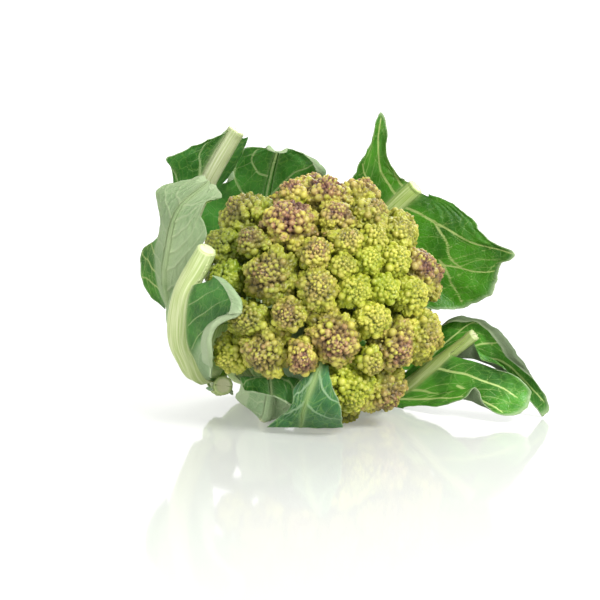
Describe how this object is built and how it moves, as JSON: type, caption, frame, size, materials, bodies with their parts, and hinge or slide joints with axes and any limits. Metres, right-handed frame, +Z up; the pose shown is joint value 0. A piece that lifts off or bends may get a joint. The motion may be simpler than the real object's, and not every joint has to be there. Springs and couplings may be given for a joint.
{
  "type": "romanesco head",
  "caption": "Whole romanesco head lying on its side: a domed curd of knobbly spiral florets on a stout cut stalk, wrapped in loose, partly trimmed outer leaves.",
  "frame": {"origin": "on the table, under the middle of the box round the head as it lies", "axes": "+X to the right, seen from the side that the curd faces; +Y away from that side; +Z up. The curd faces -Y, turned to the right and upwards."},
  "size_m": [0.2708, 0.1856, 0.1938],
  "materials": {
    "curd": null,
    "leaf": null,
    "stalk": null
  },
  "bodies": {
    "root": {"floret_01": "curd", "floret_02": "curd", "floret_03": "curd", "floret_04": "curd", "floret_05": "curd", "floret_06": "curd", "floret_07": "curd", "floret_08": "curd", "floret_09": "curd", "floret_10": "curd", "floret_11": "curd", "floret_12": "curd", "floret_13": "curd", "floret_14": "curd", "floret_15": "curd", "floret_16": "curd", "floret_17": "curd", "floret_18": "curd", "floret_19": "curd", "floret_20": "curd", "floret_21": "curd", "floret_22": "curd", "floret_23": "curd", "floret_24": "curd", "floret_25": "curd", "floret_26": "curd", "floret_27": "curd", "floret_28": "curd", "floret_29": "curd", "floret_30": "curd", "floret_31": "curd", "floret_32": "curd", "floret_33": "curd", "floret_34": "curd", "floret_35": "curd", "floret_36": "curd", "floret_37": "curd", "floret_38": "curd", "floret_39": "curd", "floret_40": "curd", "floret_41": "curd", "floret_42": "curd", "floret_43": "curd", "floret_44": "curd", "floret_45": "curd", "floret_46": "curd", "floret_47": "curd", "leaf_back_low": "leaf", "leaf_back_right": "leaf", "leaf_bottom_front": "leaf", "leaf_bottom_left": "leaf", "leaf_left": "leaf", "leaf_left_front": "leaf", "leaf_low_left": "leaf", "leaf_lower_right": "leaf", "leaf_top_left": "leaf", "leaf_top_middle": "leaf", "leaf_upper_right": "leaf", "stalk": "stalk"}
  },
  "joints": []
}
